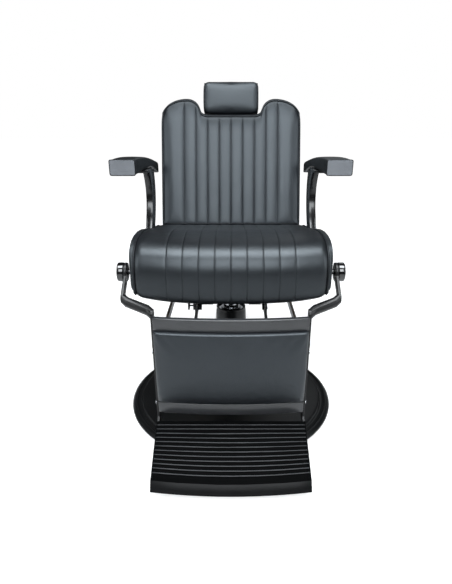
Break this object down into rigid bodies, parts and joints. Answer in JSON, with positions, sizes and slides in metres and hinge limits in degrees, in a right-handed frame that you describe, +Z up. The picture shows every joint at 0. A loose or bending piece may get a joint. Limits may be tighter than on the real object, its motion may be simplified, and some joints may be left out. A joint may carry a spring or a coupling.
{
  "type": "barber chair",
  "caption": "Padded barber chair on a round pump base, with reclining back, linked footrest, sliding headrest and drooping arm pads.",
  "frame": {"origin": "centre of the base on the floor", "axes": "+Z up, the sitter faces -Y, +X to the right of a viewer in front"},
  "size_m": [0.7199, 1.0052, 1.105],
  "materials": {
    "black_enamel": "gloss",
    "frame_black": "satin",
    "bright_steel": "polished",
    "link_steel": "satin",
    "black_leather": "smooth vinyl cover over foam",
    "plywood": "plain",
    "black_rubber": "matt",
    "tread_aluminium": "black anodised"
  },
  "bodies": {
    "base": {"base_plate": "black_enamel", "base_cover": "black_enamel", "floor_ring": "black_rubber", "pump_cylinder": "frame_black", "pump_shroud": "black_enamel", "gland_ring": "bright_steel"},
    "ram": {"pump_ram": "bright_steel"},
    "seat": {"pump_head": "frame_black", "mount_plate": "frame_black", "mount_bolts": "bright_steel", "seat_rails": "frame_black", "cross_tubes": "frame_black", "side_plate_left": "frame_black", "side_plate_right": "frame_black", "seat_board": "plywood", "seat_cushion": "black_leather", "seat_side_left": "black_leather", "seat_side_right": "black_leather", "arm_post_left": "black_enamel", "arm_post_right": "black_enamel", "arm_bolts": "bright_steel", "arm_pad_left": "black_leather", "arm_pad_right": "black_leather", "pivot_knob_left": "black_enamel", "pivot_knob_right": "black_enamel", "hinge_pins": "bright_steel", "strut_anchor": "frame_black", "strut_pins": "bright_steel"},
    "back": {"back_frame": "frame_black", "back_board": "plywood", "back_cushion": "black_leather", "back_shell": "black_leather", "headrest_guide": "bright_steel"},
    "headrest": {"headrest_bar": "bright_steel", "headrest_pad": "black_leather"},
    "footrest": {"footrest_bar_left": "black_enamel", "footrest_bar_right": "black_enamel", "calf_panel": "frame_black", "calf_pad": "black_leather", "footplate": "tread_aluminium", "footrest_bolts": "bright_steel", "link_pins": "bright_steel"},
    "links": {"link_bars": "link_steel"},
    "strut_cylinders": {"strut_cylinder_left": "frame_black", "strut_cylinder_right": "frame_black", "release_head": "frame_black"},
    "strut_rods": {"strut_rod_left": "bright_steel", "strut_rod_right": "bright_steel"},
    "pedal": {"pedal_lever": "frame_black", "pedal_pad": "black_rubber"},
    "release": {"release_lever": "bright_steel", "release_grip": "black_rubber"}
  },
  "joints": [
    {"name": "lift", "type": "slide", "parent": "base", "child": "ram", "axis": [0, 0, 1], "range_m": [0, 0.16]},
    {"name": "swivel", "type": "hinge", "parent": "ram", "child": "seat", "pos_m": [0, 0, 0.4], "axis": [0, 0, 1], "continuous": true},
    {"name": "recline", "type": "hinge", "parent": "seat", "child": "back", "pos_m": [0, 0.26, 0.557], "axis": [-1, 0, 0], "range_deg": [0, 35]},
    {"name": "footrest_swing", "type": "hinge", "parent": "seat", "child": "footrest", "pos_m": [0, -0.206, 0.557], "axis": [-1, 0, 0], "range_deg": [0, 35]},
    {"name": "link_turn", "type": "hinge", "parent": "back", "child": "links", "pos_m": [0, 0.15545, 0.3795], "axis": [-1, 0, 0], "range_deg": [-35, 0]},
    {"name": "strut_turn", "type": "hinge", "parent": "back", "child": "strut_cylinders", "pos_m": [0, 0.30736, 0.45772], "axis": [-1, 0, 0], "range_deg": [-35, 0]},
    {"name": "strut_stroke", "type": "slide", "parent": "strut_cylinders", "child": "strut_rods", "axis": [0, 0.9899, 0.1416], "range_m": [0, 0.06616]},
    {"name": "headrest_slide", "type": "slide", "parent": "back", "child": "headrest", "axis": [0, 0.284, 0.9588], "range_m": [0, 0.12]},
    {"name": "pump_pedal", "type": "hinge", "parent": "seat", "child": "pedal", "pos_m": [0, 0.11, 0.446], "axis": [-1, 0, 0], "range_deg": [0, 14], "stiffness_Nm_per_rad": 15, "springref_deg": -14.32},
    {"name": "recline_release", "type": "hinge", "parent": "seat", "child": "release", "pos_m": [-0.275, 0.214, 0.532], "axis": [1, 0, 0], "range_deg": [0, 16], "stiffness_Nm_per_rad": 4, "springref_deg": -11.46}
  ],
  "couplings": [
    {"joint": "footrest_swing", "follows": "recline", "ratio": 1},
    {"joint": "link_turn", "follows": "recline", "ratio": -1},
    {"joint": "strut_turn", "follows": "recline", "ratio": -1},
    {"joint": "strut_stroke", "follows": "recline", "m_per_rad": 0.1083}
  ]
}
